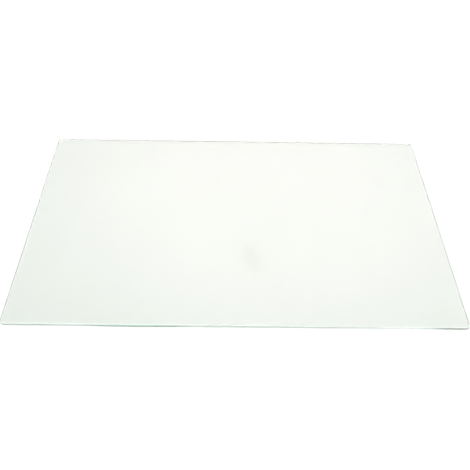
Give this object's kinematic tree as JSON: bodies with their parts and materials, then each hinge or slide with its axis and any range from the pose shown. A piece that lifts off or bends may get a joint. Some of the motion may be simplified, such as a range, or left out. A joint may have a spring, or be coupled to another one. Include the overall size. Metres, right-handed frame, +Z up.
{
  "type": "refrigerator shelf",
  "caption": "Flat rectangular sheet of clear toughened glass with ground edges and rounded corners, laid on a refrigerator's ledges or trims as a shelf.",
  "frame": {"origin": "centre of the sheet's underside, on the surface that it rests on", "axes": "+X along the width, +Y from the front edge to the back edge, +Z up through the thickness"},
  "size_m": [0.475, 0.305, 0.004],
  "materials": {
    "glass": "clear float glass, polished faces with a faint green tint, satin flat-ground edges that look darker green"
  },
  "bodies": {
    "root": {"glass_panel": "glass"}
  },
  "joints": []
}
